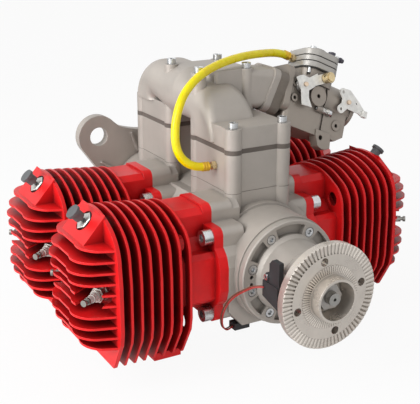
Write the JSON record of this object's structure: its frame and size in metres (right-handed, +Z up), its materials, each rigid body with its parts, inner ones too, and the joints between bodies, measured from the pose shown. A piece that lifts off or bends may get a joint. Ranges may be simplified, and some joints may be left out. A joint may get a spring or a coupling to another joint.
{
  "type": "flat four-cylinder two-stroke aircraft engine",
  "caption": "Air-cooled flat two-stroke aircraft engine with red finned cylinders, light alloy crankcase, log intake manifold, diaphragm carburettor and serrated propeller hub.",
  "frame": {"origin": "centre of the propeller flange's driving face, on the crankshaft axis", "axes": "-Y forward along the crankshaft out of the propeller flange, +X to the carburettor side across the cylinders, +Z up through the intake towers"},
  "size_m": [0.4326, 0.4135, 0.3065],
  "materials": {
    "cast_aluminium": "blasted casting, satin",
    "cover_aluminium": "machined casting, satin",
    "hub_aluminium": "turned, bright satin",
    "red_paint": "semi-gloss",
    "screw_zinc": "bright zinc",
    "steel": "ground",
    "bearing_steel": "polished",
    "seal_rubber": "matte",
    "piston_aluminium": "turned",
    "plug_shell": "plated",
    "plug_insulator": "glazed",
    "plug_terminal": "dull",
    "valve_zinc": "zinc",
    "valve_button": "matte",
    "reed_plate": "matte",
    "reed_cage": "coated",
    "spacer": "moulded, matte",
    "carb_alloy": "die-cast, satin",
    "pump_plate": "die-cast, satin",
    "gasket": "matte",
    "lever_zinc": "white zinc",
    "brass": "satin",
    "dark_fitting": "matte",
    "yellow_hose": "clear tinted",
    "sensor_black": "matte",
    "lead_sheath": "matte"
  },
  "bodies": {
    "engine": {"crankcase": "cast_aluminium", "front_bearing_cover": "cover_aluminium", "rear_mounting_cover": "cast_aluminium", "cover_screws": "screw_zinc", "centre_bearing_carrier": "cover_aluminium", "bearing_outer_rings": "bearing_steel", "bearing_rollers": "bearing_steel", "shaft_seal": "seal_rubber", "cylinder_bolts": "screw_zinc", "spark_plug_shells": "plug_shell", "spark_plug_insulators": "plug_insulator", "spark_plug_terminals": "plug_terminal", "decompression_valve_bodies": "valve_zinc", "reed_housing_front": "cast_aluminium", "reed_housing_rear": "cast_aluminium", "reed_plates": "reed_plate", "reed_valves": "reed_cage", "intake_manifold": "cast_aluminium", "short_tower_screws": "screw_zinc", "long_tower_screws": "screw_zinc", "carburettor_spacer": "spacer", "carburettor_body": "carb_alloy", "pump_plates": "pump_plate", "pump_gaskets": "gasket", "pump_screws": "screw_zinc", "idle_screw": "screw_zinc", "fuel_nipple": "dark_fitting", "hose_fittings": "brass", "impulse_hose": "yellow_hose", "speed_sensor": "sensor_black", "sensor_screw": "screw_zinc", "sensor_leads": "lead_sheath", "lead_connector": "sensor_black", "cylinder_left_front": "red_paint", "cylinder_right_front": "red_paint", "cylinder_left_rear": "red_paint", "cylinder_right_rear": "red_paint"},
    "crank": {"crankshaft": "steel", "propeller_hub": "hub_aluminium", "hub_nut_and_washer": "steel", "bearing_inner_rings": "bearing_steel"},
    "throttle": {"throttle_shaft": "steel", "throttle_lever": "lever_zinc", "throttle_butterfly": "brass"},
    "choke": {"choke_shaft": "steel", "choke_lever": "lever_zinc", "choke_butterfly": "brass"},
    "swivel": {"cable_swivel": "brass"},
    "piston_left_front": {"piston_left_front": "piston_aluminium", "pin_and_rings_left_front": "bearing_steel"},
    "button_left_front": {"valve_button_left_front": "valve_button"},
    "piston_right_front": {"piston_right_front": "piston_aluminium", "pin_and_rings_right_front": "bearing_steel"},
    "button_right_front": {"valve_button_right_front": "valve_button"},
    "piston_left_rear": {"piston_left_rear": "piston_aluminium", "pin_and_rings_left_rear": "bearing_steel"},
    "button_left_rear": {"valve_button_left_rear": "valve_button"},
    "piston_right_rear": {"piston_right_rear": "piston_aluminium", "pin_and_rings_right_rear": "bearing_steel"},
    "button_right_rear": {"valve_button_right_rear": "valve_button"}
  },
  "joints": [
    {"name": "crank_spin", "type": "hinge", "parent": "engine", "child": "crank", "pos_m": [0, 0, 0], "axis": [0, 1, 0], "continuous": true},
    {"name": "piston_left_front_slide", "type": "slide", "parent": "engine", "child": "piston_left_front", "axis": [1, 0, 0], "range_m": [0, 0.04]},
    {"name": "piston_right_front_slide", "type": "slide", "parent": "engine", "child": "piston_right_front", "axis": [-1, 0, 0], "range_m": [0, 0.04]},
    {"name": "piston_left_rear_slide", "type": "slide", "parent": "engine", "child": "piston_left_rear", "axis": [-1, 0, 0], "range_m": [0, 0.04]},
    {"name": "piston_right_rear_slide", "type": "slide", "parent": "engine", "child": "piston_right_rear", "axis": [1, 0, 0], "range_m": [0, 0.04]},
    {"name": "button_left_front_press", "type": "slide", "parent": "engine", "child": "button_left_front", "axis": [0.7071, 0, -0.7071], "range_m": [0, 0.0035], "stiffness_N_per_m": 1500, "springref_m": -0.001},
    {"name": "button_right_front_press", "type": "slide", "parent": "engine", "child": "button_right_front", "axis": [-0.7071, 0, -0.7071], "range_m": [0, 0.0035], "stiffness_N_per_m": 1500, "springref_m": -0.001},
    {"name": "button_left_rear_press", "type": "slide", "parent": "engine", "child": "button_left_rear", "axis": [0.7071, 0, -0.7071], "range_m": [0, 0.0035], "stiffness_N_per_m": 1500, "springref_m": -0.001},
    {"name": "button_right_rear_press", "type": "slide", "parent": "engine", "child": "button_right_rear", "axis": [-0.7071, 0, -0.7071], "range_m": [0, 0.0035], "stiffness_N_per_m": 1500, "springref_m": -0.001},
    {"name": "throttle_turn", "type": "hinge", "parent": "engine", "child": "throttle", "pos_m": [0.0969, 0.218, 0.1542], "axis": [0.1189, -0.9563, 0.2671], "range_deg": [0, 75], "stiffness_Nm_per_rad": 0.05, "springref_deg": -17.19},
    {"name": "choke_turn", "type": "hinge", "parent": "engine", "child": "choke", "pos_m": [0.15811, 0.218, 0.12695], "axis": [0.1189, -0.9563, 0.2671], "range_deg": [0, 75]},
    {"name": "swivel_turn", "type": "hinge", "parent": "throttle", "child": "swivel", "pos_m": [0.13112, 0.1959, 0.16467], "axis": [0.1189, -0.9563, 0.2671], "range_deg": [-60, 60]}
  ],
  "couplings": [
    {"joint": "piston_right_front_slide", "follows": "piston_left_front_slide", "ratio": 1},
    {"joint": "piston_left_rear_slide", "follows": "piston_left_front_slide", "ratio": 1},
    {"joint": "piston_right_rear_slide", "follows": "piston_left_front_slide", "ratio": 1}
  ]
}
